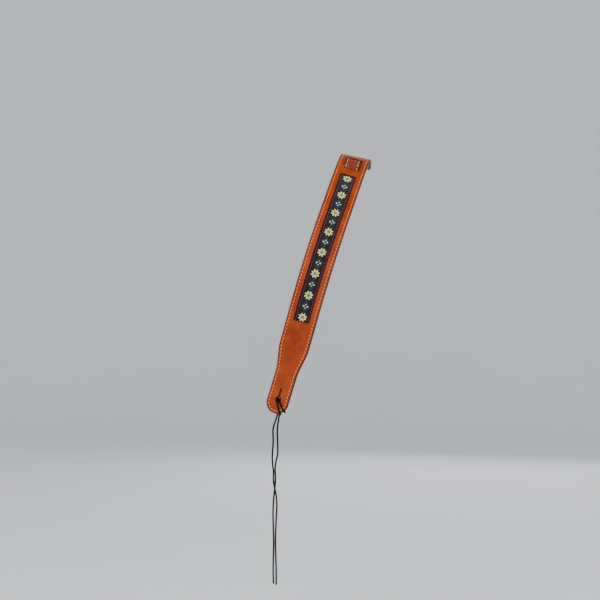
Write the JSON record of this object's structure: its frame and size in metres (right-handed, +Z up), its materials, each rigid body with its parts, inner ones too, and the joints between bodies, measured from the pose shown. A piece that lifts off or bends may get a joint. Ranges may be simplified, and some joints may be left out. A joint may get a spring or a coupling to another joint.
{
  "type": "instrument shoulder strap",
  "caption": "Leather shoulder strap with an inlaid woven ribbon, a narrower tail threaded through slots at the shoulder, and a tie lace at its round front tab.",
  "frame": {"origin": "under the strap at the crest of the shoulder it hangs over, on the tail's underside", "axes": "+Z up; the front run comes down towards -Y and -X, the tail hangs down at +Y"},
  "size_m": [0.1829, 0.2509, 0.7322],
  "materials": {
    "tan_leather": "oiled saddle-tan top grain with dark burnished edges",
    "lining_leather": "dark brown flesh-side lining, matte",
    "ribbon_cloth": "jacquard ribbon, black ground with red borders, cream star and teal diamond figures",
    "waxed_thread": "waxed pale tan thread",
    "black_lace": "black braided waxed lace"
  },
  "bodies": {
    "pad": {"face_leather": "tan_leather", "backing_leather": "lining_leather", "woven_ribbon": "ribbon_cloth", "pad_top_thread": "waxed_thread", "pad_bobbin_thread": "waxed_thread", "tail_face_woven": "tan_leather", "tail_lining_woven": "lining_leather", "tail_top_thread_woven": "waxed_thread", "tail_bobbin_thread_woven": "waxed_thread", "lace_hitch": "black_lace"},
    "tail": {"tail_face_hanging": "tan_leather", "tail_lining_hanging": "lining_leather", "tail_top_thread_hanging": "waxed_thread", "tail_bobbin_thread_hanging": "waxed_thread"},
    "lace_left": {"lace_left": "black_lace"},
    "lace_right": {"lace_right": "black_lace"}
  },
  "joints": [
    {"name": "tail_swing", "type": "hinge", "parent": "pad", "child": "tail", "pos_m": [-0.0265, 0.08546, -0.09521], "axis": [0.933, 0.009, -0.3599], "range_deg": [-25, 70]},
    {"name": "lace_swing", "type": "hinge", "parent": "pad", "child": "lace_left", "pos_m": [-0.13499, -0.14938, -0.43578], "axis": [1, 0, 0], "range_deg": [-50, 50]},
    {"name": "lace_part", "type": "hinge", "parent": "lace_left", "child": "lace_right", "pos_m": [-0.13499, -0.14938, -0.43578], "axis": [1, 0, 0], "range_deg": [0, 40]}
  ]
}
